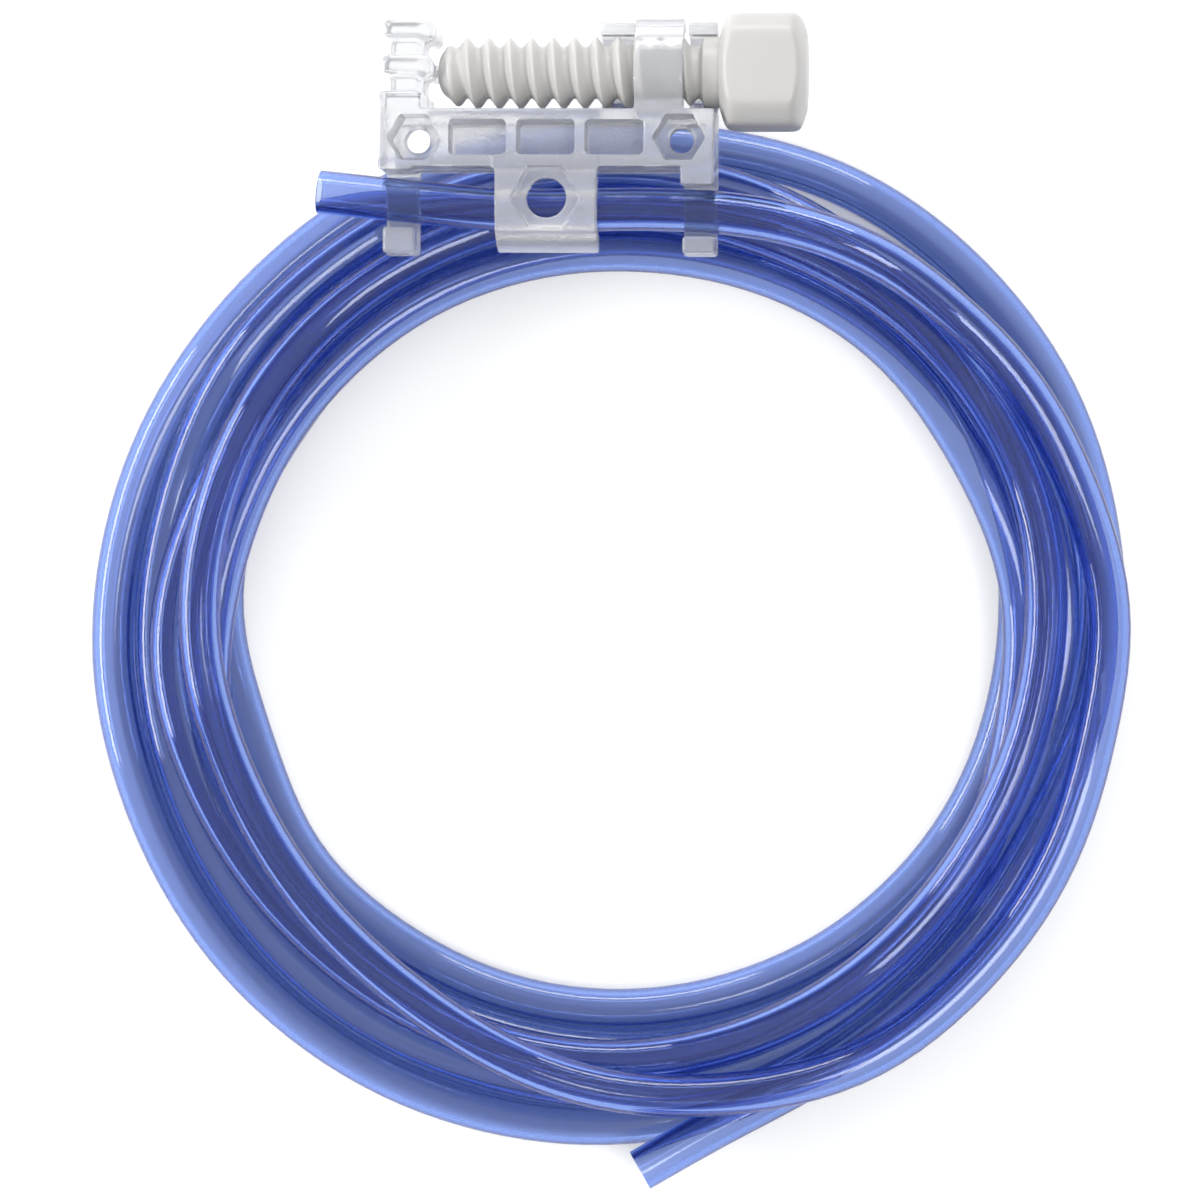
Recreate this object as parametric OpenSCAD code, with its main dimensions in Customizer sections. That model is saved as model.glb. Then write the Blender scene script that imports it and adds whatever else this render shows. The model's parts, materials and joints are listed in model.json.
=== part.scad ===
// Hose holder: a coil of soft hose with a moulded rim clamp and its clamping screw.
// Frame: millimetres, +Z up. The coil lies flat on Z = 0, the origin is under the middle
// of the whole object, and the screw's axis runs roughly along +X.

/* [Hose] */
// Outer diameter of the hose
hose_d = 6; // [5.6:0.1:6.2]
// Inner diameter of the hose
hose_bore_d = 4; // [3:0.5:4.5]
// Height of the coiled hose, two layers with a little sag
coil_h = 12.4; // [12:0.1:12.6]
// Outer radius of the coil
coil_outer_r = 73.3; // [72:0.1:73.4]
// Inner radius of the coil
coil_inner_r = 53.5; // [50:0.5:56]

/* [Clamp body] */
// Width of the clamp's body
body_w = 46.5; // [46:0.5:48]
// Height of the body plate, along the clamp's own Y
body_h = 8; // [7.8:0.1:8.2]
// Depth of the body behind the parting plane
body_back = 5; // [4.8:0.1:5]
// Depth of the body in front of the parting plane
body_front = 5.5; // [5.3:0.1:6]
// Thickness of the outer walls
wall = 1.5; // [1.2:0.1:1.8]
// How far the clamp leans, with the screw head's side up (degrees)
lean = 5.5; // [5:0.5:6]
// How far the clamp is turned on the coil, seen from above (degrees)
turn = -0.6; // [-1:0.1:0]

/* [Fastener pockets] */
// Clearance hole of the two small pockets, for an M3 screw
small_hole_d = 3.4; // [3.2:0.1:3.6]
// Across flats of the two small nut pockets
small_flats = 6.3; // [5.8:0.1:6.5]
// Distance between the two small holes
small_spacing = 36.8; // [36:0.1:37]
// Clearance hole in the tongue, for an M5 screw
tongue_hole_d = 5.5; // [5.3:0.1:5.8]
// Across flats of the nut pocket in the tongue
tongue_flats = 8.4; // [8.2:0.1:8.6]

/* [Clamping screw] */
// Outer diameter of the thread
thread_d = 10; // [9.6:0.1:10.2]
// Root diameter of the thread
root_d = 7.2; // [7:0.1:7.4]
// Pitch of the thread, one start, right hand
pitch = 3; // [2.5:0.25:3.5]
// Across flats of the square screw head
head_flats = 15.6; // [14.6:0.2:15.8]
// Width of the chamfers along the four edges of the screw head
head_chamfer = 3.75; // [3:0.25:4.5]
// Length of the screw head
head_len = 12; // [10:0.5:12.5]

/* [Hidden] */

clear_plastic = [0.86, 0.88, 0.92, 0.55];
screw_white = [0.84, 0.82, 0.80];
hose_blue = [0.28, 0.38, 0.74, 0.8];

hose_r = hose_d / 2;
hose_gap = 0.2;
$fn = 64;

// The clamp's own frame: origin on the hose's axis under the tongue, X along the screw,
// Y from the hose towards the screw, Z out of the front, Z = 0 on the parting plane.
clip_pos = [-8.3, 55.6, 20];
half_w = body_w / 2;
body_y0 = 5.6;
body_y1 = body_y0 + body_h;
floor_z0 = -1.5;
floor_z1 = 0.5;
pocket_y = body_y0 + body_h / 2;
leg_w = 4.6;

screw_y = 19.1;
bore_r = thread_d / 2 + 0.3;
boss_r = bore_r + 1.7;
boss_x0 = 6.9;
boss_x1 = half_w;
band_x0 = 12.2;
band_x1 = 18.9;
slit = 0.3;

tip_x = -15.7;
head_x = half_w + 0.5;
collar_len = 2.2;
core_r = 1.5;
core_gap = 0.05;
core_x0 = tip_x + 5;
core_x1 = head_x + 6;

coil_pos = [0, -2, 0];

// Route of the hose's free start: through the clip, then up and over onto the coil
lead_route = [
    [-34.5, 57.8, 17.5], [-29.5, 57.2, 18], [-24, 56.6, 18.5], [-18, 56, 19], [-13, 55.7, 19.5],
    [-8.3, 55.6, 20], [-3, 55.6, 20.5], [6, 55.6, 21.4], [16, 55, 22.3], [25.5, 53.3, 23],
    [34.5, 50.2, 22.8], [44, 45, 21.5], [52.3, 38, 19.5], [58.8, 30.3, 17.5],
    [63.8, 22, 16], [67.4, 12.5, 15.2]];

// Route of the hose's other end: over the outermost turn, out of the coil's lower edge
tail_route = [[42, -56, 9.3], [33.7, -62, 9.3], [26, -67.4, 9], [18.5, -71.5, 8.8], [9.7, -76.5, 8.8]];

end_len = 6;

function unit(v) = v / norm(v);

// Direction of travel at point i of a route
function heading(p, i) = unit(p[min(i + 1, len(p) - 1)] - p[max(i - 1, 0)]);

// One ring of tube points square to the route at point i
function ring(p, i, r, sides) =
    let (t = heading(p, i), side = unit(cross([0, 0, 1], t)), up = cross(t, side))
    [for (k = [0:sides - 1]) p[i] + r * (cos(360 * k / sides) * side + sin(360 * k / sides) * up)];

// A closed round tube swept along a route
module tube(p, r, sides) {
    n = len(p);
    points = [for (i = [0:n - 1]) each ring(p, i, r, sides)];
    walls = [for (i = [0:n - 2], k = [0:sides - 1])
        let (a = i * sides + k, b = i * sides + (k + 1) % sides)
        each [[a, b + sides, b], [a, a + sides, b + sides]]];
    start = [[for (k = [0:sides - 1]) k]];
    finish = [[for (k = [0:sides - 1]) n * sides - 1 - k]];
    polyhedron(points, concat(start, finish, walls), convexity = 6);
}

// A short straight stretch of hose with its open bore, from point a towards b
module cut_end(a, b) {
    d = unit(b - a);
    translate(a)
        rotate([0, acos(d.z), atan2(d.y, d.x)])
            difference() {
                cylinder(h = end_len, r = hose_r);
                translate([0, 0, 1])
                    cylinder(h = end_len, r = hose_bore_d / 2);
            }
}

// Puts its children from the clamp's frame into the part's frame
module clamp_frame() {
    translate(clip_pos)
        rotate([0, -lean, turn])
            children();
}

// A box given by its two corners
module box(a, b) {
    translate(a)
        cube(b - a);
}

// A prism with a hexagonal base, points left and right, from z0 to z1
module hexagon_prism(flats, z0, z1) {
    translate([0, 0, z0])
        cylinder(h = z1 - z0, r = flats / sqrt(3), $fn = 6);
}

// A recess with rounded corners, from z0 to z1
module rounded_recess(w, h, r, z0, z1) {
    translate([0, 0, z0])
        linear_extrude(z1 - z0)
            union() {
                square([w - 2 * r, h], center = true);
                square([w, h - 2 * r], center = true);
                for (sx = [-1, 1], sy = [-1, 1])
                    translate([sx * (w / 2 - r), sy * (h / 2 - r)])
                        circle(r = r);
            }
}

// Extrudes a profile drawn as (Y, Z) along the clamp's X, from x0 to x1
module along_x(x0, x1) {
    translate([x0, 0, 0])
        rotate([90, 0, 90])
            linear_extrude(x1 - x0)
                children();
}

module body_plate() {
    color(clear_plastic)
        clamp_frame()
            difference() {
                box([-half_w, body_y0, -body_back], [half_w, body_y1, body_front]);
                box([wall - half_w, body_y0 + wall, -body_back - 1],
                    [half_w - wall, body_y1 - wall, floor_z0]);
                for (i = [-1:1])
                    translate([i * 9.5, pocket_y, 0])
                        rounded_recess(8, 4.8, 0.7, floor_z1, body_front + 1);
                for (s = [-1, 1])
                    translate([s * small_spacing / 2, pocket_y, 0]) {
                        hexagon_prism(small_flats, floor_z1, body_front + 1);
                        translate([0, 0, -body_back])
                            cylinder(h = body_back + body_front, r = small_hole_d / 2);
                    }
            }
}

module fixed_jaw() {
    foot_y1 = body_y1 + 2.4;
    color(clear_plastic)
        clamp_frame()
            union() {
                box([-half_w, body_y1, -body_back], [-17, foot_y1, body_front]);
                box([-17, body_y1, -2], [-16.4, foot_y1, body_front]);
                box([-22, foot_y1, -4.5], [-18, 25, 4.5]);
                box([-18, foot_y1, -1], [-17.2, 25, 4.5]);
                box([-23, 18.7, -5], [-16.6, 21, 5]);
                box([-16.6, 18.1, -5], [-16, 20.6, 5]);
                box([-22.8, 23.7, -5], [-16.4, 26, 5]);
                box([-16.4, 23.2, -5], [-15.8, 25.4, 5]);
            }
}

// Cross-section of one half of the screw boss, in front of the parting plane
module half_shell() {
    difference() {
        union() {
            translate([screw_y, 0])
                circle(r = boss_r);
            translate([screw_y, 0])
                square([boss_r, boss_r / 2]);
            translate([body_y1, 0])
                square([screw_y - body_y1, body_front]);
        }
        translate([screw_y, 0])
            circle(r = bore_r);
        translate([screw_y - 20, -40])
            square([40, 40]);
        translate([body_y1 - 20, -10])
            square([20, 30]);
    }
}

module boss_front_band() {
    color(clear_plastic)
        clamp_frame()
            along_x(band_x0, band_x1)
                half_shell();
}

module boss_back_shells() {
    color(clear_plastic)
        clamp_frame() {
            along_x(boss_x0, band_x0 - slit)
                mirror([0, 1])
                    half_shell();
            along_x(band_x1 + slit, boss_x1)
                mirror([0, 1])
                    half_shell();
        }
}

module hose_tongue() {
    inner = hose_r + hose_gap;
    color(clear_plastic)
        clamp_frame()
            difference() {
                along_x(-6.9, 6.9)
                    difference() {
                        polygon([[body_y0, inner], [body_y0, body_front], [1.2, body_front],
                                 [-3.2, 4.6], [-5.2, 2.6], [-5.9, 0.6], [-5.9, -0.6], [0, -0.6],
                                 [0, inner]]);
                        circle(r = inner);
                    }
                translate([0, 1.4, 0]) {
                    hexagon_prism(tongue_flats, body_front - 1.5, body_front + 1);
                    cylinder(h = body_front + 1, r = tongue_hole_d / 2);
                }
            }
}

// A leg behind the hose with its lip below the hose; the leg's front part ends at front_y
module hook(x0, x1, front_y, lip_y) {
    color(clear_plastic)
        clamp_frame()
            union() {
                box([x0, front_y, -body_back], [x1, body_y0, body_front]);
                box([x0, -6, -body_back], [x1, front_y, -hose_r - hose_gap]);
                box([x0, -6, -hose_r - hose_gap], [x1, lip_y, 1]);
            }
}

module hook_left() {
    hook(-half_w, leg_w - half_w, 5.2, -2.3);
}

module hook_right() {
    hook(half_w - leg_w, half_w, 3.2, -3.6);
}

// Puts its children, drawn along +Z, onto the screw's axis along +X
module on_screw_axis(x) {
    clamp_frame()
        translate([x, screw_y, 0])
            rotate([0, 90, 0])
                children();
}

// The bore that the core turns in
module core_bore() {
    on_screw_axis(core_x0 - core_gap)
        cylinder(h = core_x1 - core_x0 + 2 * core_gap, r = core_r + core_gap);
}

module screw_core() {
    color(screw_white)
        on_screw_axis(core_x0)
            cylinder(h = core_x1 - core_x0, r = core_r);
}

module screw_shank() {
    root_r = root_d / 2;
    crest_r = thread_d / 2 - 0.1;
    shank_len = head_x - tip_x;
    color(screw_white)
        difference() {
            on_screw_axis(tip_x)
                rotate_extrude()
                    polygon([[0, 0], [root_r - 1.2, 0], [root_r, 0.8], [root_r, shank_len - collar_len - 1.2],
                             [crest_r, shank_len - collar_len], [crest_r, shank_len], [0, shank_len]]);
            core_bore();
        }
}

// Helical ridge, its ends tapered into the root
module screw_thread() {
    steps = 30;
    x0 = tip_x + 1.2;
    x1 = head_x - collar_len - 1.6;
    n = floor((x1 - x0) / pitch * steps);
    inner = root_d / 2 - 0.1;
    foot = pitch * 0.42;
    crest = pitch * 0.1;
    function rise(i) = min(1, (i + 1) / 8, (n - i + 1) / 8);
    function turn_point(r, x, a) = [x, r * sin(a), r * cos(a)];
    points = [for (i = [0:n])
        let (a = -360 * i / steps, x = x0 + pitch * i / steps,
             top = inner + (thread_d / 2 - inner) * rise(i))
        each [turn_point(inner, x - foot, a), turn_point(top, x - crest, a),
              turn_point(top, x + crest, a), turn_point(inner, x + foot, a)]];
    walls = [for (i = [0:n - 1], k = [0:3])
        let (a = i * 4 + k, b = i * 4 + (k + 1) % 4)
        each [[a, b, b + 4], [a, b + 4, a + 4]]];
    ends = [[3, 2, 1, 0], [4 * n, 4 * n + 1, 4 * n + 2, 4 * n + 3]];
    color(screw_white)
        clamp_frame()
            translate([0, screw_y, 0])
                polyhedron(points, concat(walls, ends), convexity = 20);
}

module screw_head() {
    corner_flats = head_flats * sqrt(2) - head_chamfer;
    core = [head_flats, head_flats, 2 * head_len];
    corners = [corner_flats, corner_flats, 2 * head_len];
    color(screw_white)
        difference() {
            on_screw_axis(head_x)
                intersection() {
                    cube(core, center = true);
                    rotate([0, 0, 45])
                        cube(corners, center = true);
                    rotate_extrude()
                        polygon([[0, 0], [5.6, 0], [8.2, 1.6], [9.8, 2.4], [9.8, head_len - 2.4],
                                 [8.2, head_len - 1.6], [5.6, head_len], [0, head_len]]);
                }
            core_bore();
        }
}

// The coiled turns as one closed ring with the rounded outline of the hoses
module hose_coil() {
    r = hose_r;
    w = coil_outer_r - coil_inner_r;
    color(hose_blue)
        translate(coil_pos)
            rotate_extrude($fn = 128)
                translate([coil_inner_r, 0])
                    union() {
                        translate([r, 0])
                            square([w - 2 * r, coil_h]);
                        translate([0, r])
                            square([w, coil_h - 2 * r]);
                        for (x = [r, w - r], z = [r, coil_h - r])
                            translate([x, z])
                                circle(r = r);
                    }
}

module hose_lead() {
    color(hose_blue)
        tube(lead_route, hose_r, 12);
}

module hose_lead_end() {
    color(hose_blue)
        cut_end(lead_route[0], 2 * lead_route[0] - lead_route[1]);
}

module hose_tail() {
    color(hose_blue)
        tube(tail_route, hose_r, 12);
}

module hose_tail_end() {
    last = len(tail_route) - 1;
    color(hose_blue)
        cut_end(tail_route[last], 2 * tail_route[last] - tail_route[last - 1]);
}

body_plate();
fixed_jaw();
boss_front_band();
boss_back_shells();
hose_tongue();
hook_left();
hook_right();
screw_core();
screw_shank();
screw_thread();
screw_head();
hose_coil();
hose_lead();
hose_lead_end();
hose_tail();
hose_tail_end();
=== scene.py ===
"""Hose holder: a coil of soft blue hose, a clear rim clamp and its white clamping screw.

The camera and the lamps are in metres. The hose, clamp and screw are worked out in millimetres, and
MM turns them into metres when a piece is made.
"""

import json
import math

import bpy
import numpy as np
from mathutils import Matrix, Vector


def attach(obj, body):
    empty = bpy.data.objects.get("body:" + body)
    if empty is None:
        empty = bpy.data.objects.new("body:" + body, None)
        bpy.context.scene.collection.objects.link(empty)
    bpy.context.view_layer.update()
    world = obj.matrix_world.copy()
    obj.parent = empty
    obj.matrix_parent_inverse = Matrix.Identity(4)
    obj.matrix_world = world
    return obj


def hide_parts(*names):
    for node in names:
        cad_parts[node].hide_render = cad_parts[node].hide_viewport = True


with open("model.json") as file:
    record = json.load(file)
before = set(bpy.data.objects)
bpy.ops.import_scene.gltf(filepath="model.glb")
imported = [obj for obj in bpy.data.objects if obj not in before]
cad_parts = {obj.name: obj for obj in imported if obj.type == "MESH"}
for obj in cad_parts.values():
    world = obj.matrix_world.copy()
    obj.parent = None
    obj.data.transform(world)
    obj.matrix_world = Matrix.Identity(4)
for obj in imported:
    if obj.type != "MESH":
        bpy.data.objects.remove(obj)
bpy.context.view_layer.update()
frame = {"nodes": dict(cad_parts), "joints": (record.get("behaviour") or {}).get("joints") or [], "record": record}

MM = 0.001

# ---------------------------------------------------------------- camera, floor and light

CAMERA_HEIGHT = 0.6
CAMERA_PLACE = (-0.0012, 0.0014)
VIEW_WIDTH = 0.17266
SENSOR = 36.0
OVERHEAD_LIGHT = 0.8
HORIZON_LIGHT = 0.04
DARK_BELOW, FULL_ABOVE = 0.02, 0.65
FLOOR_SIDE = 3.0
FLOOR_GAP = 0.0002
# Each lamp: where it is, its width and height, the point that it faces, and its power in watts
LAMPS = {
    "left_lamp": ((-0.62, 0.10, 0.28), (0.6, 0.13), (-0.02, 0.0, 0.0), 3.4),
    "back_lamp": ((0.05, 0.66, 0.30), (0.6, 0.13), (0.0, 0.0, 0.0), 2.4),
    "top_lamp": ((0.22, -0.20, 0.85), (0.30, 0.30), (0.0, 0.0, 0.0), 2.0),
}


def make_camera():
    """Looks straight down on the coil, +Y up in the picture."""
    data = bpy.data.cameras.new("camera")
    data.sensor_width = SENSOR
    data.lens = SENSOR * CAMERA_HEIGHT / VIEW_WIDTH
    data.clip_start = 0.01
    data.clip_end = 20
    camera = bpy.data.objects.new("camera", data)
    camera.location = (*CAMERA_PLACE, CAMERA_HEIGHT)
    bpy.context.scene.collection.objects.link(camera)
    bpy.context.scene.camera = camera


def softbox(name, place, size, target, power):
    """A large soft lamp that faces the target."""
    data = bpy.data.lights.new(name, "AREA")
    data.shape = "RECTANGLE"
    data.size, data.size_y = size
    data.energy = power
    lamp = bpy.data.objects.new(name, data)
    lamp.location = place
    lamp.rotation_mode = "QUATERNION"
    lamp.rotation_quaternion = (Vector(target) - Vector(place)).to_track_quat("-Z", "Y")
    lamp.visible_camera = False
    bpy.context.scene.collection.objects.link(lamp)


def make_sky():
    """Pale light from overhead that fades to almost nothing at the horizon."""
    world = bpy.data.worlds.new("sky")
    world.use_nodes = True
    tree = world.node_tree
    sky = tree.nodes["Background"]
    sky.inputs["Color"].default_value = (0.97, 0.98, 1.0, 1)
    way = tree.nodes.new("ShaderNodeTexCoord")
    parts = tree.nodes.new("ShaderNodeSeparateXYZ")
    rise = tree.nodes.new("ShaderNodeMapRange")
    rise.inputs["From Min"].default_value = DARK_BELOW
    rise.inputs["From Max"].default_value = FULL_ABOVE
    rise.inputs["To Min"].default_value = HORIZON_LIGHT
    rise.inputs["To Max"].default_value = OVERHEAD_LIGHT
    tree.links.new(way.outputs["Generated"], parts.inputs["Vector"])
    tree.links.new(parts.outputs["Z"], rise.inputs["Value"])
    tree.links.new(rise.outputs["Result"], sky.inputs["Strength"])
    bpy.context.scene.world = world


def make_floor():
    """A plain white floor that glows a little, so that no hard shadow shows."""
    mesh = bpy.data.meshes.new("floor")
    side = FLOOR_SIDE
    corners = [(-side, -side, 0), (side, -side, 0), (side, side, 0), (-side, side, 0)]
    mesh.from_pydata(corners, [], [(0, 1, 2, 3)])
    floor = bpy.data.objects.new("floor", mesh)
    floor.location.z = -FLOOR_GAP
    bpy.context.scene.collection.objects.link(floor)
    paper = new_material("floor_paper")
    shader = paper.node_tree.nodes["Principled BSDF"]
    shader.inputs["Base Color"].default_value = (0.95, 0.95, 0.95, 1)
    shader.inputs["Roughness"].default_value = 0.9
    shader.inputs["Specular IOR Level"].default_value = 0.1
    shader.inputs["Emission Color"].default_value = (1, 1, 1, 1)
    shader.inputs["Emission Strength"].default_value = 0.24
    floor.data.materials.append(paper)


def make_studio():
    make_sky()
    for name, (place, size, target, power) in LAMPS.items():
        softbox(name, place, size, target, power)
    make_floor()


# ---------------------------------------------------------------- materials


def new_material(name):
    material = bpy.data.materials.new(name)
    material.use_nodes = True
    return material


def node(material, kind, **inputs):
    """A new node with some of its inputs set, underscores in their names standing for spaces."""
    made = material.node_tree.nodes.new(kind)
    for name, value in inputs.items():
        made.inputs[name.replace("_", " ")].default_value = value
    return made


def link(material, source, target):
    material.node_tree.links.new(source, target)


def hose_material():
    """Translucent soft PVC: a clear wall that is blue by absorption, its surface slightly uneven."""
    material = new_material("blue_hose")
    shader = material.node_tree.nodes["Principled BSDF"]
    shader.inputs["Base Color"].default_value = (0.91, 0.895, 0.945, 1)
    shader.inputs["Roughness"].default_value = 0.03
    shader.inputs["IOR"].default_value = 1.5
    shader.inputs["Transmission Weight"].default_value = 1.0
    wall = node(material, "ShaderNodeVolumeAbsorption", Color=(0.08, 0.35, 0.83, 1), Density=640.0)
    output = material.node_tree.nodes["Material Output"]
    link(material, wall.outputs["Volume"], output.inputs["Volume"])
    place = node(material, "ShaderNodeTexCoord")
    ripple = node(material, "ShaderNodeTexNoise", Scale=60.0, Detail=1.0)
    bump = node(material, "ShaderNodeBump", Strength=0.02, Distance=0.001)
    link(material, place.outputs["Object"], ripple.inputs["Vector"])
    link(material, ripple.outputs["Fac"], bump.inputs["Height"])
    link(material, bump.outputs["Normal"], shader.inputs["Normal"])
    return material


def clear_material():
    """Clear moulding: a smooth screw boss and jaw, a grained plate and tongue that sparkle."""
    material = new_material("clear_plastic")
    shader = material.node_tree.nodes["Principled BSDF"]
    shader.inputs["Base Color"].default_value = (0.84, 0.845, 0.86, 1)
    shader.inputs["IOR"].default_value = 1.49
    shader.inputs["Transmission Weight"].default_value = 0.72
    place = node(material, "ShaderNodeTexCoord")
    parts = node(material, "ShaderNodeSeparateXYZ")
    grained = node(material, "ShaderNodeMapRange")
    grained.inputs["From Min"].default_value = (BODY[1] + 0.4) * MM
    grained.inputs["From Max"].default_value = (BODY[1] - 0.2) * MM
    grain = node(material, "ShaderNodeTexNoise", Scale=2600.0, Detail=1.0)
    rough = node(material, "ShaderNodeMapRange")
    rough.inputs["To Min"].default_value = 0.07
    rough.inputs["To Max"].default_value = 0.24
    amount = node(material, "ShaderNodeMath")
    amount.operation = "MULTIPLY"
    bump = node(material, "ShaderNodeBump", Strength=0.6, Distance=0.00012)
    link(material, place.outputs["Object"], parts.inputs["Vector"])
    link(material, parts.outputs["Y"], grained.inputs["Value"])
    link(material, place.outputs["Object"], grain.inputs["Vector"])
    link(material, grained.outputs["Result"], rough.inputs["Value"])
    link(material, rough.outputs["Result"], shader.inputs["Roughness"])
    link(material, grain.outputs["Fac"], amount.inputs[0])
    link(material, grained.outputs["Result"], amount.inputs[1])
    link(material, amount.outputs["Value"], bump.inputs["Height"])
    link(material, bump.outputs["Normal"], shader.inputs["Normal"])
    return material


def white_material():
    """Off-white satin moulding with a faint orange-peel surface."""
    material = new_material("white_plastic")
    shader = material.node_tree.nodes["Principled BSDF"]
    shader.inputs["Roughness"].default_value = 0.38
    shader.inputs["Subsurface Weight"].default_value = 0.15
    shader.inputs["Subsurface Radius"].default_value = (0.0016, 0.0014, 0.0012)
    shader.inputs["Subsurface Scale"].default_value = 1.0
    place = node(material, "ShaderNodeTexCoord")
    shade = node(material, "ShaderNodeTexNoise", Scale=90.0, Detail=3.0)
    tint = node(material, "ShaderNodeMix")
    tint.data_type = "RGBA"
    tint.inputs[6].default_value = (0.50, 0.49, 0.475, 1)
    tint.inputs[7].default_value = (0.55, 0.54, 0.525, 1)
    peel = node(material, "ShaderNodeTexNoise", Scale=1500.0, Detail=2.0)
    bump = node(material, "ShaderNodeBump", Strength=0.12, Distance=0.0001)
    link(material, place.outputs["Object"], shade.inputs["Vector"])
    link(material, shade.outputs["Fac"], tint.inputs["Factor"])
    link(material, tint.outputs[2], shader.inputs["Base Color"])
    link(material, place.outputs["Object"], peel.inputs["Vector"])
    link(material, peel.outputs["Fac"], bump.inputs["Height"])
    link(material, bump.outputs["Normal"], shader.inputs["Normal"])
    return material


# ---------------------------------------------------------------- mesh helpers

SHARP_ANGLE = math.radians(50)


def tube_faces(rings, sides):
    """Quads between rings of points that are counted ring by ring, facing outwards."""
    ring = np.arange(rings - 1)[:, None] * sides
    k = np.arange(sides)[None, :]
    n = (k + 1) % sides
    return np.stack([ring + k, ring + n, ring + sides + n, ring + sides + k], -1).reshape(-1, 4)


def add_piece(name, points, faces, matrix, material):
    """A mesh object, smooth but for its sharp edges, with its points in metres."""
    mesh = bpy.data.meshes.new(name)
    mesh.from_pydata([tuple(p) for p in points], [], [tuple(f) for f in faces])
    mesh.validate()
    mesh.shade_smooth()
    mesh.set_sharp_from_angle(angle=SHARP_ANGLE)
    mesh.materials.append(material)
    piece = bpy.data.objects.new(name, mesh)
    piece.matrix_world = matrix
    bpy.context.scene.collection.objects.link(piece)
    return piece


# ---------------------------------------------------------------- hose

HOSE_D = 6.0
BORE_D = 4.0
COIL_CENTRE = (0.5, -4.6)
KNOT_ANGLE = 30
ROUTE_STEP = 4.0
RING_STEP = 3.0
HOSE_SIDES = 44
SPAN_POINTS = 12

# How the turns settle: the rounds, the share of them after which everything moves less, how many
# points along the hose count as its neighbours, how far beyond a diameter it looks for other turns,
# how much of the push is sideways, how far it sinks in a round early and late, and how stiff it is
# sideways and up.
SETTLE_ROUNDS = 600
LATE = 0.7
NEIGHBOURS = 8
REACH = 4
SIDE_PUSH = 0.5
PUSH_RATE = 1.5
SINK, LATE_SINK = 0.03, 0.008
STIFF = 0.25
STIFF_WAYS = np.array([0.3, 0.3, 1])
# Turns further than EDGE_BAND from the middle of the coil's band keep their circle more firmly
BAND_MIDDLE, EDGE_BAND = 61.5, 6.5
EDGE_HOLD, MIDDLE_HOLD, LATE_HOLD = 0.3, 0.04, 0.4
# Pairs of smoothing steps, in and back out, that take out ripples and keep the circles' size
SMOOTHING = (0.5, -0.52)
SMOOTHING_PAIRS = 30
# The lead is free to settle from LEAD_FREE before its end, over LEAD_BLEND, and the tail is held
LEAD_FREE, LEAD_BLEND, TAIL_HELD = 5, 40, 20

# The hose's free start, through the clip and down onto the coil, as in the CAD solids
LEAD_ROUTE = [(-40.4, 58.5, 16.9), (-34.5, 57.8, 17.5), (-29.5, 57.2, 18), (-24, 56.6, 18.5),
              (-18, 56, 19), (-13, 55.7, 19.5), (-8.3, 55.6, 20), (-3, 55.6, 20.5), (6, 55.6, 21.4),
              (16, 55, 22.3), (25.5, 53.3, 23), (34.5, 50.2, 22.8), (44, 45, 21.5), (52.3, 38, 19.5),
              (58.8, 30.3, 17.5), (63.8, 22, 16), (67.4, 12.5, 15.2)]
# The hose's other end, over the outermost turn
TAIL_ROUTE = [(42, -56, 9.3), (33.7, -62, 9.3), (26, -67.4, 9), (18.5, -71.5, 8.8), (9.7, -76.5, 8.8),
              (4.5, -79.45, 8.8)]
# Each turn: its first angle clockwise from +Y, then at every 30 degrees how far it lies from the
# coil's centre and about how high it starts before it settles.
TURNS = [
    (90, [70, 69.5, 68.5, 63.5, 57.5, 56.5, 58.5, 60, 61],
     [15, 15, 15, 15, 15, 15, 15, 15, 14]),
    (0, [61.5, 62.5, 63, 61, 59, 59.5, 60, 59.5, 60.5, 61.5, 62, 63],
     [13, 12, 11, 10, 9.5, 9.5, 9.5, 9.5, 9.5, 9.5, 9.5, 9.5]),
    (0, [64, 65, 65.5, 65.5, 62.5, 59.5, 58.6, 58.6, 58.3, 57.5, 56.5, 56.5],
     [8, 7, 6, 5, 4, 3.5, 3.5, 3.5, 3.5, 3.5, 5, 8]),
    (0, [56.5, 57.5, 58.5, 59.5, 60.5, 62.5, 63.8, 64.3, 65, 66, 67, 67.5],
     [9, 9, 9, 9, 8, 6, 6, 6, 7, 8, 8.5, 9]),
    (0, [67.5, 65.5, 62.5, 58.5, 56.5, 54, 53, 53, 55, 57, 57.5, 57.5],
     [8, 8, 8.5, 4, 3, 3, 3, 3, 3, 3, 3, 3]),
    (0, [58.5, 60.5, 63, 66.5, 68, 68, 69, 70, 70.5, 71.5, 71, 71.5],
     [3, 3, 3, 3, 3, 3, 3, 3, 3, 3, 3, 3]),
    (0, [71.5, 73.5, 73, 70, 66.3],
     [3, 3, 3, 5, 9]),
]


def line_length(line):
    return float(np.linalg.norm(np.diff(line, axis=0), axis=1).sum())


def distance_along(line):
    return np.r_[0, np.cumsum(np.linalg.norm(np.diff(line, axis=0), axis=1))]


def evenly_spaced(line, step):
    along = distance_along(line)
    at = np.linspace(0, along[-1], round(along[-1] / step) + 1)
    return np.stack([np.interp(at, along, line[:, k]) for k in range(3)], 1)


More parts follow.
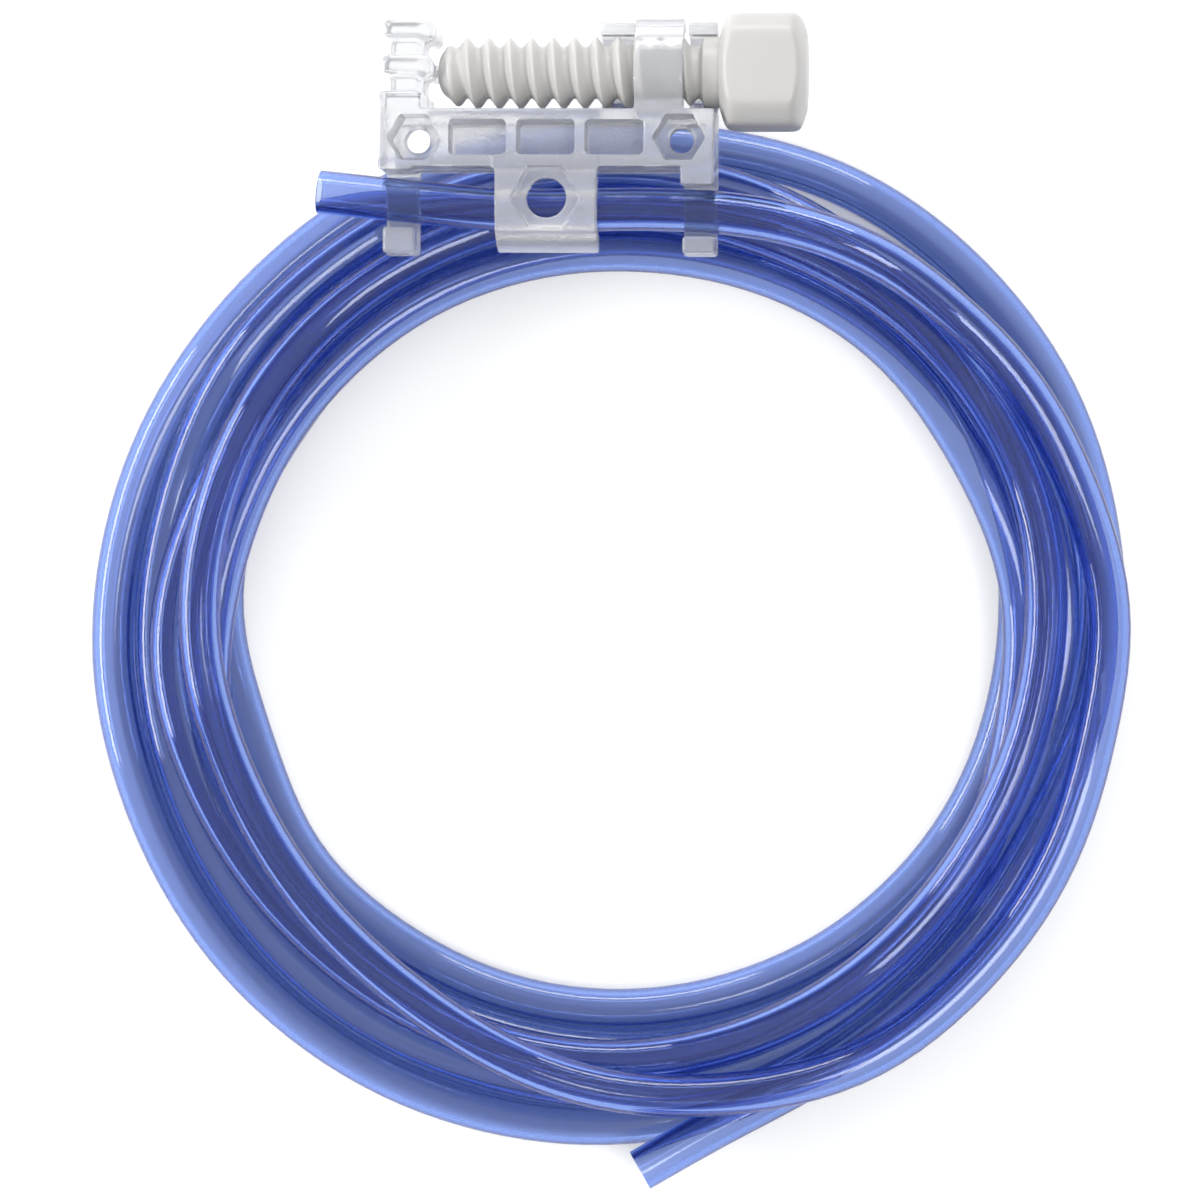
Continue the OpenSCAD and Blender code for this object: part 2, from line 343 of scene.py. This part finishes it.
def smooth_line(points, step):
    """A smooth curve through the points, with its own points evenly spaced."""
    p = np.array(points, float)
    p = np.vstack([2 * p[0] - p[1], p, 2 * p[-1] - p[-2]])
    a, b, c, d = (x[:, None] for x in (p[:-3], p[1:-2], p[2:-1], p[3:]))
    t = np.linspace(0, 1, SPAN_POINTS, endpoint=False)[None, :, None]
    curve = 0.5 * (2 * b + (c - a) * t + (2 * a - 5 * b + 4 * c - d) * t**2
                   + (3 * b - a - 3 * c + d) * t**3)
    return evenly_spaced(np.vstack([curve.reshape(-1, 3), p[-2]]), step)


def rough_route():
    """The whole hose before it settles: its start, its turns by a loop, and its end."""
    points = list(LEAD_ROUTE)
    for first, radii, heights in TURNS:
        for i, (radius, height) in enumerate(zip(radii, heights)):
            angle = math.radians(first + KNOT_ANGLE * i)
            points.append((COIL_CENTRE[0] + radius * math.sin(angle),
                           COIL_CENTRE[1] + radius * math.cos(angle), height))
    return points + TAIL_ROUTE


def hold_strength(line):
    """How firmly each point keeps to its own circle: the edge turns more than the middle ones."""
    radius = np.hypot(line[:, 0] - COIL_CENTRE[0], line[:, 1] - COIL_CENTRE[1])
    return np.where(np.abs(radius - BAND_MIDDLE) > EDGE_BAND, EDGE_HOLD, MIDDLE_HOLD)[:, None]


def push_apart(p, i, j):
    """The mean push on each point from the points of other turns that are too close."""
    apart = p[i] - p[j]
    distance = np.maximum(np.linalg.norm(apart, axis=1), 1e-6)
    short = np.clip(HOSE_D - distance, 0, None)
    push = apart / distance[:, None] * short[:, None] * 0.5
    push[:, :2] *= SIDE_PUSH
    move = np.zeros_like(p)
    count = np.zeros(len(p))
    np.add.at(move, i, push)
    np.add.at(move, j, -push)
    np.add.at(count, i, short > 0)
    np.add.at(count, j, short > 0)
    return move / np.maximum(count, 1)[:, None]


def bend(p):
    """From each inner point to the middle of its two neighbours."""
    return 0.5 * (p[:-2] + p[2:]) - p[1:-1]


def settle(line, held):
    """Lets the turns sink onto the floor and each other, a diameter apart, near their own circles."""
    goal = line.copy()
    i, j = np.triu_indices(len(line), NEIGHBOURS)
    near = np.hypot(*(line[i, :2] - line[j, :2]).T) < HOSE_D + REACH
    i, j = i[near], j[near]
    free = (1 - held)[:, None]
    hold = hold_strength(goal)
    p = line.copy()
    for k in range(SETTLE_ROUNDS):
        late = k > LATE * SETTLE_ROUNDS
        p += push_apart(p, i, j) * free * PUSH_RATE
        p[:, 2] -= (LATE_SINK if late else SINK) * free[:, 0]
        p[:, :2] += (LATE_HOLD if late else 1) * hold * (goal[:, :2] - p[:, :2]) * free
        p[1:-1] += STIFF * bend(p) * free[1:-1] * STIFF_WAYS
        p[:, 2] = np.maximum(p[:, 2], HOSE_D / 2)
    for step in SMOOTHING * SMOOTHING_PAIRS:
        p[1:-1] += step * bend(p) * free[1:-1]
    return p


def hose_route():
    """The middle line of the hose, in millimetres."""
    line = smooth_line(rough_route(), ROUTE_STEP)
    along = distance_along(line)
    lead = line_length(smooth_line(LEAD_ROUTE, 1))
    held = np.maximum(np.clip((lead - LEAD_FREE - along) / LEAD_BLEND, 0, 1),
                      np.clip((along - along[-1] + TAIL_HELD) / TAIL_HELD, 0, 1))
    return smooth_line(settle(line, held), RING_STEP)


def hose_mesh(line):
    """Points and faces of a hollow tube around the line, its two cut ends open."""
    heading = np.gradient(line, axis=0)
    heading /= np.linalg.norm(heading, axis=1)[:, None]
    side = np.cross((0, 0, 1), heading)
    side /= np.linalg.norm(side, axis=1)[:, None]
    up = np.cross(heading, side)
    angle = np.linspace(0, 2 * math.pi, HOSE_SIDES, endpoint=False)[None, :, None]
    rings = [line[:, None] + radius * (np.cos(angle) * side[:, None] + np.sin(angle) * up[:, None])
             for radius in (HOSE_D / 2, BORE_D / 2)]
    points = np.concatenate([r.reshape(-1, 3) for r in rings]) * MM
    count = len(line) * HOSE_SIDES
    outside = tube_faces(len(line), HOSE_SIDES)
    inside = outside[:, ::-1] + count
    k = np.arange(HOSE_SIDES)
    n = (k + 1) % HOSE_SIDES
    start = np.stack([k, k + count, n + count, n], -1)
    finish = np.stack([k, n, n + count, k + count], -1) + count - HOSE_SIDES
    return points, np.concatenate([outside, inside, start, finish])


def make_hose(material):
    line = hose_route()
    points, faces = hose_mesh(line)
    hose = add_piece("hose", points, faces, Matrix.Identity(4), material)
    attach(hose, "holder")
    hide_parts("hose_coil", "hose_lead", "hose_lead_end", "hose_tail", "hose_tail_end")


# ---------------------------------------------------------------- the clamp's frame


def joint(name):
    return next(j for j in frame["joints"] if j["name"] == name)


def mount(name):
    return next(m for m in frame["record"]["mounts"] if m["name"] == name)


SCREW_Y = 19.1


def clamp_matrix():
    """From the clamp's own frame to the part's: X along the screw, Z out of the small holes."""
    x = Vector(joint("screw_turn")["axis"]).normalized()
    z = Vector(mount("small_hole_left")["axis"]).normalized()
    y = z.cross(x)
    place = Vector(joint("screw_turn")["pos_m"]) - y * SCREW_Y * MM
    matrix = Matrix((x, y, z)).transposed().to_4x4()
    matrix.translation = place
    return matrix


# ---------------------------------------------------------------- clamp, as a distance field

VOXEL = 0.245
MARGIN = 0.8
FAR = 60.0

# The plate: half its width, its lower and upper edge, its back and front, the back hollow's wall
HALF_W = 23.25
BODY = (5.6, 13.6)
BACK, FRONT = -5.0, 5.5
WALL = 1.5
HOLLOW_TOP, POCKET_FLOOR = -1.5, 0.5
EDGE = 0.3
RECESS_PITCH, RECESS_SIZE, RECESS_CORNER = 9.5, (8, 4.8), 0.7
SMALL_NUT_X, SMALL_NUT_FLATS, SMALL_HOLE_R = 18.4, 6.3, 1.7
FOOT_TOP = BODY[1] + 2.4
# Each rib of the jaw: its lower and upper edge, its outer end and where its nose begins
RIBS = [(18.6, 21.1, -23, -16.4), (23.6, 26, -22.8, -16.2)]
BORE_R, BOSS_R = 5.3, 7.0
FRONT_BAND, BACK_SHELLS = (12.2, 18.9), [(6.9, 11.9), (19.2, HALF_W)]
BOSS_FOOT_Y, BOSS_FOOT_HALF = 16, 3.2
HOSE_GAP = 0.2
TONGUE_HALF = 6.9
BIG_NUT_Y, BIG_NUT_FLATS, BIG_HOLE_R, BIG_NUT_DEPTH = 1.4, 8.4, 2.75, 1.5
HOOK_W, HOOK_BOTTOM, LIP_TOP = 4.6, -6, 1


class Field:
    """Signed distances on a grid: negative inside the plastic."""

    def __init__(self, low, high):
        axes = [np.arange(a, b + VOXEL, VOXEL) for a, b in zip(low, high)]
        self.origin = np.array([a[0] for a in axes])
        self.x = axes[0][:, None, None]
        self.y = axes[1][None, :, None]
        self.z = axes[2][None, None, :]
        self.value = np.full([len(a) for a in axes], FAR, np.float32)

    def add(self, shape, blend=0.35):
        self.value = smooth_min(self.value, shape, blend)

    def cut(self, shape, blend=0.15):
        self.value = -smooth_min(-self.value, shape, blend)

    def box(self, low, high, rounding=0.25):
        """A box with rounded edges."""
        total = 0
        deepest = -FAR
        for axis, a, b in zip((self.x, self.y, self.z), low, high):
            q = np.abs(axis - (a + b) / 2) - (b - a) / 2 + rounding
            total = total + np.maximum(q, 0) ** 2
            deepest = np.maximum(deepest, q)
        return (np.sqrt(total) + np.minimum(deepest, 0) - rounding).astype(np.float32)

    def slab(self, z0, z1):
        return np.abs(self.z - (z0 + z1) / 2) - (z1 - z0) / 2

    def hexagon(self, cx, cy, flats, z0, z1):
        """A hexagonal prism with its points left and right."""
        x, y = np.abs(self.x - cx), np.abs(self.y - cy)
        flat = np.maximum(y, x * math.sqrt(0.75) + y * 0.5) - flats / 2
        return np.maximum(flat, self.slab(z0, z1))

    def drill(self, cx, cy, radius, z0, z1):
        """A round hole along Z."""
        return np.maximum(np.hypot(self.x - cx, self.y - cy) - radius, self.slab(z0, z1))

    def recess(self, cx, cy, width, height, corner, z0, z1):
        """A rounded rectangle, cut from z0 up."""
        qx = np.abs(self.x - cx) - width / 2 + corner
        qy = np.abs(self.y - cy) - height / 2 + corner
        flat = (np.hypot(np.maximum(qx, 0), np.maximum(qy, 0))
                + np.minimum(np.maximum(qx, qy), 0) - corner)
        return np.maximum(flat, self.slab(z0, z1))

    def bar(self, cy, cz, radius):
        """Distance from a round bar along X."""
        return np.hypot(self.y - cy, self.z - cz) - radius

    def along(self, x0, x1, profile):
        """A profile over Y and Z, kept between x0 and x1."""
        return np.maximum(profile, np.abs(self.x - (x0 + x1) / 2) - (x1 - x0) / 2)

    def polygon(self, corners):
        """Distance from a closed outline given as (Y, Z)."""
        y, z = np.broadcast_arrays(self.y, self.z)
        nearest = np.full(y.shape, FAR)
        inside = np.zeros(y.shape, bool)
        for (y0, z0), (y1, z1) in zip(corners, corners[1:] + corners[:1]):
            dy, dz = y1 - y0, z1 - z0
            t = np.clip(((y - y0) * dy + (z - z0) * dz) / (dy * dy + dz * dz), 0, 1)
            nearest = np.minimum(nearest, np.hypot(y - y0 - t * dy, z - z0 - t * dz))
            crosses = (z0 > z) != (z1 > z)
            if dz:
                inside ^= crosses & (y < (z - z0) / dz * dy + y0)
        return np.where(inside, -nearest, nearest)


def smooth_min(a, b, blend):
    """The smaller of two distances, with a fillet where they meet."""
    h = np.clip(0.5 + 0.5 * (b - a) / blend, 0, 1)
    return (b + (a - b) * h - blend * h * (1 - h)).astype(np.float32)


def skin(field):
    """The surface where the field is zero, as points in millimetres and quads."""
    f = field.value
    inside = f < 0
    cells = tuple(n - 1 for n in f.shape)
    total = np.zeros(cells + (3,), np.float32)
    count = np.zeros(cells, np.float32)
    corner = [(a, b, c) for a in (0, 1) for b in (0, 1) for c in (0, 1)]

    def at(array, offset):
        return array[tuple(slice(o, o + n) for o, n in zip(offset, cells))]

    for start in corner:
        for axis in range(3):
            if start[axis]:
                continue
            end = tuple(o + (k == axis) for k, o in enumerate(start))
            a, b = at(f, start), at(f, end)
            crossed = at(inside, start) != at(inside, end)
            share = np.where(crossed, a / np.where(crossed, a - b, 1), 0)
            for k in range(3):
                total[..., k] += crossed * (start[k] + (share if k == axis else 0))
            count += crossed
    used = count > 0
    number = np.full(cells, -1, np.int64)
    number[used] = np.arange(used.sum())
    base = np.argwhere(used)
    points = (base + total[used] / count[used][:, None]) * VOXEL + field.origin
    quads = []
    for axis in range(3):
        u, v = (axis + 1) % 3, (axis + 2) % 3
        low = tuple(slice(0, -1) if k == axis else slice(1, -1) for k in range(3))
        high = tuple(slice(1, None) if k == axis else slice(1, -1) for k in range(3))
        a, b = inside[low], inside[high]
        edges = np.argwhere(a != b)
        edges[:, u] += 1
        edges[:, v] += 1
        leaving = a[a != b]
        step_u, step_v = np.eye(3, dtype=int)[u], np.eye(3, dtype=int)[v]
        ring = [edges - step_u - step_v, edges - step_v, edges, edges - step_u]
        quad = np.stack([number[tuple(r.T)] for r in ring], -1)
        quad[~leaving] = quad[~leaving][:, ::-1]
        quads.append(quad)
    return points, np.concatenate(quads)


def add_jaw(f):
    """The foot, the post with its flange, and two ribs whose noses curl down."""
    post_bottom, post_top = FOOT_TOP - 1, 25
    f.add(f.box((-HALF_W, 12, BACK), (-17.6, FOOT_TOP, FRONT), EDGE))
    f.add(f.box((-18, 12, -2.5), (-16.5, FOOT_TOP - 0.4, 4.6), 0.5))
    f.add(f.box((-22, post_bottom, -4.4), (-18, post_top, 4.4), 0.2))
    f.add(f.box((-18.5, post_bottom, -1), (-17.1, post_top, 4.2), 0.2))
    for low, high, outer, nose in RIBS:
        f.add(f.box((outer, low, -5), (nose, high, 5), 0.55), 0.3)
        f.add(f.box((nose - 1.4, low - 0.6, -4.8), (nose + 0.6, high - 0.7, 4.8), 0.8), 0.9)


def add_boss(f):
    """One half shell in front of the screw and two behind it, each with a foot and a square rim."""
    bore = -f.bar(SCREW_Y, 0, BORE_R)
    wall = f.bar(SCREW_Y, 0, BOSS_R)
    rim = np.maximum(np.abs(f.y - SCREW_Y - BOSS_R / 2), np.abs(f.z)) - BOSS_R / 2
    foot = np.maximum(np.abs(f.y - BOSS_FOOT_Y) - BOSS_FOOT_HALF, np.abs(f.z) - FRONT)
    shell = np.maximum(np.minimum(wall, np.minimum(rim, foot)), bore)
    f.add(f.along(*FRONT_BAND, np.maximum(shell, -f.z)), 0.2)
    for span in BACK_SHELLS:
        f.add(f.along(*span, np.maximum(shell, f.z)), 0.2)


def add_tongue(f):
    """The tongue that presses the hose from in front, down to its curled tip."""
    inner = HOSE_D / 2 + HOSE_GAP
    profile = f.polygon([(7, inner), (7, FRONT), (1.2, FRONT), (-3.2, 4.6), (-5.2, 2.6), (-5.9, 0.6),
                         (-5.9, -0.6), (-4, -0.6), (0, 1), (3, 2)])
    plate = np.maximum(profile, -f.bar(0, 0, inner))
    rounding = 0.15
    f.add(f.along(-TONGUE_HALF, TONGUE_HALF, plate + rounding) - rounding, 0.9)


def add_hook(f, x0, x1, leg_bottom, lip_edge):
    """A leg that passes behind the hose, and its lip below."""
    behind = -HOSE_D / 2 - HOSE_GAP
    f.add(f.box((x0, leg_bottom, BACK), (x1, BODY[0] + 1, FRONT)), 0.3)
    f.add(f.box((x0, HOOK_BOTTOM, BACK), (x1, leg_bottom + 1, behind)), 0.3)
    f.add(f.box((x0, HOOK_BOTTOM, BACK), (x1, lip_edge, LIP_TOP), 0.5), 0.3)


def cut_plate(f):
    """The hollow in the back, and in front three recesses, two small nut pockets and their holes."""
    middle = sum(BODY) / 2
    beyond = FRONT + 2
    f.cut(f.box((WALL - HALF_W, BODY[0] + WALL, BACK - 2),
                (HALF_W - WALL, BODY[1] - WALL, HOLLOW_TOP)))
    for i in (-1, 0, 1):
        f.cut(f.recess(i * RECESS_PITCH, middle, *RECESS_SIZE, RECESS_CORNER, POCKET_FLOOR, beyond))
    for x in (-SMALL_NUT_X, SMALL_NUT_X):
        f.cut(f.hexagon(x, middle, SMALL_NUT_FLATS, POCKET_FLOOR, beyond))
        f.cut(f.drill(x, middle, SMALL_HOLE_R, BACK, FRONT))


def cut_tongue(f):
    """The larger nut pocket and its hole."""
    f.cut(f.hexagon(0, BIG_NUT_Y, BIG_NUT_FLATS, FRONT - BIG_NUT_DEPTH, FRONT + 2))
    f.cut(f.drill(0, BIG_NUT_Y, BIG_HOLE_R, 0, FRONT + 2))


def make_clamp(material):
    """The whole clear moulding as one closed skin."""
    f = Field((-HALF_W - MARGIN, -6.8, -7.8), (HALF_W + MARGIN, 26.8, 7.8))
    f.add(f.box((-HALF_W, BODY[0], BACK), (HALF_W, BODY[1], FRONT), EDGE))
    add_jaw(f)
    add_boss(f)
    add_tongue(f)
    add_hook(f, -HALF_W, HOOK_W - HALF_W, 5.2, -2.3)
    add_hook(f, HALF_W - HOOK_W, HALF_W, 3.2, -3.6)
    cut_plate(f)
    cut_tongue(f)
    points, quads = skin(f)
    clamp = add_piece("clamp", points * MM, quads, clamp_matrix(), material)
    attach(clamp, "holder")
    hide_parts("body_plate", "fixed_jaw", "boss_front_band", "boss_back_shells",
                "hose_tongue", "hook_left", "hook_right")


# ---------------------------------------------------------------- screw

TIP_X = -15.7
TIP_LEN = 2.3
HEAD_X = 23.75
HEAD_LEN = 12.0
PITCH = 3.0
ROOT_R, CREST_R, COLLAR_R = 3.6, 5.0, 4.9
# The thread: where a crest faces the front, half a ridge's width in pitches, how round the ridge is,
# where it grows out of the tip and over what length, and where it fades before the collar
FIRST_CREST = -10.9
RIDGE_HALF, RIDGE_ROUND = 0.44, 0.65
THREAD_IN, THREAD_IN_LEN = 0.9, 2.4
THREAD_OUT, THREAD_OUT_LEN = 3.2, 1.2
COLLAR_LEN, COLLAR_RISE = 3.0, 0.7
SHANK_STEP, SHANK_SIDES = 0.12, 72
# The head: half across its flats, half across its chamfers, and its ends' small and full radius
HEAD_HALF = 7.8
HEAD_CORNER = 9.25
HEAD_SHARPNESS = 24.0
END_R, FULL_R, END_LEN, END_CURVE = 5.4, 9.8, 3.0, 2.4
HEAD_SIDES = 192
END_RINGS, MIDDLE_RINGS = 14, 12


def shank_radius(x, turn):
    """The screw's radius at x and at a turn angle from the clamp's front towards -Y."""
    phase = ((x - FIRST_CREST - PITCH * turn / (2 * math.pi)) / PITCH + 0.5) % 1 - 0.5
    slope = np.clip(1 - np.abs(phase) / RIDGE_HALF, 0, 1)
    ridge = RIDGE_ROUND * (0.5 - 0.5 * np.cos(math.pi * slope)) + (1 - RIDGE_ROUND) * slope
    grow = np.clip((x - TIP_X - THREAD_IN) / THREAD_IN_LEN, 0, 1)
    fade = np.clip((HEAD_X - THREAD_OUT - x) / THREAD_OUT_LEN, 0, 1)
    dome = 1 - np.clip(1 - (x - TIP_X) / TIP_LEN, 0, 1) ** 2.6
    collar = np.clip((x - HEAD_X + COLLAR_LEN) / COLLAR_RISE, 0, 1)
    return (ROOT_R * np.sqrt(dome) + (CREST_R - ROOT_R) * ridge * grow * fade
            + (COLLAR_R - ROOT_R) * collar**2)


def head_radius(x, turn):
    """The head: a square with chamfered corners, its ends rounded over."""
    power = HEAD_SHARPNESS
    quarter = math.pi / 2
    reach = 0
    for k in range(2):
        reach = reach + np.abs(np.cos(turn - k * quarter) / HEAD_HALF) ** power
        reach = reach + np.abs(np.cos(turn - (k + 0.5) * quarter) / HEAD_CORNER) ** power
    inset = np.minimum(x - HEAD_X, HEAD_X + HEAD_LEN - x)
    share = 1 - (1 - np.clip(inset / END_LEN, 0, 1)) ** END_CURVE
    end = END_R + (FULL_R - END_R) * share
    return (reach + end ** -power) ** (-1 / power)


def lathe(xs, radius, sides):
    """Rings around the screw's axis, each point at its own radius, closed at both ends."""
    turn = np.linspace(0, 2 * math.pi, sides, endpoint=False)[None, :]
    x = np.asarray(xs)[:, None]
    r = radius(x, turn)
    points = np.stack([x + 0 * r, SCREW_Y - r * np.sin(turn), r * np.cos(turn)], -1).reshape(-1, 3)
    last_ring = len(points) - sides
    first_hub = len(points)
    points = np.vstack([points, [(xs[0], SCREW_Y, 0), (xs[-1], SCREW_Y, 0)]])
    faces = [tuple(quad) for quad in tube_faces(len(xs), sides)]
    for k in range(sides):
        n = (k + 1) % sides
        faces.append((first_hub, n, k))
        faces.append((first_hub + 1, last_ring + k, last_ring + n))
    return points, faces


def shank_stations():
    """Where the shank's rings are: close together over the tip, then evenly spaced."""
    angle = np.linspace(0.06, math.pi / 2, END_RINGS)
    dome = TIP_X + TIP_LEN * (1 - np.cos(angle))
    return np.r_[dome, np.arange(dome[-1] + SHANK_STEP, HEAD_X + 0.4, SHANK_STEP)]


def head_stations():
    """Where the head's rings are: close together at both ends."""
    near = HEAD_X + END_LEN * (1 - np.cos(np.linspace(0, math.pi / 2, END_RINGS)))
    middle = np.linspace(HEAD_X + END_LEN, HEAD_X + HEAD_LEN - END_LEN, MIDDLE_RINGS)[1:-1]
    return np.r_[near, middle, (2 * HEAD_X + HEAD_LEN - near)[::-1]]


def make_screw(material):
    """The threaded shank and the head; the CAD core stays inside them, in the same plastic."""
    matrix = clamp_matrix()
    points, faces = lathe(shank_stations(), shank_radius, SHANK_SIDES)
    shank = add_piece("screw_shank_and_thread", points * MM, faces, matrix, material)
    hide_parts("screw_shank", "screw_thread")
    points, faces = lathe(head_stations(), head_radius, HEAD_SIDES)
    head = add_piece("screw_head_cap", points * MM, faces, matrix, material)
    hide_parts("screw_head")
    for piece in (shank, head):
        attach(piece, "screw")
    core = frame["nodes"]["screw_core"]
    core.data.materials.clear()
    core.data.materials.append(material)


# ---------------------------------------------------------------- the scene


def set_light_paths():
    """Enough bounces to see through three layers of hollow hose, and colours shown as they are."""
    scene = bpy.context.scene
    scene.cycles.max_bounces = 20
    scene.cycles.transmission_bounces = 20
    scene.cycles.diffuse_bounces = 3
    scene.cycles.glossy_bounces = 4
    scene.view_settings.view_transform = "Standard"


make_camera()
set_light_paths()
make_hose(hose_material())
make_studio()
make_clamp(clear_material())
make_screw(white_material())
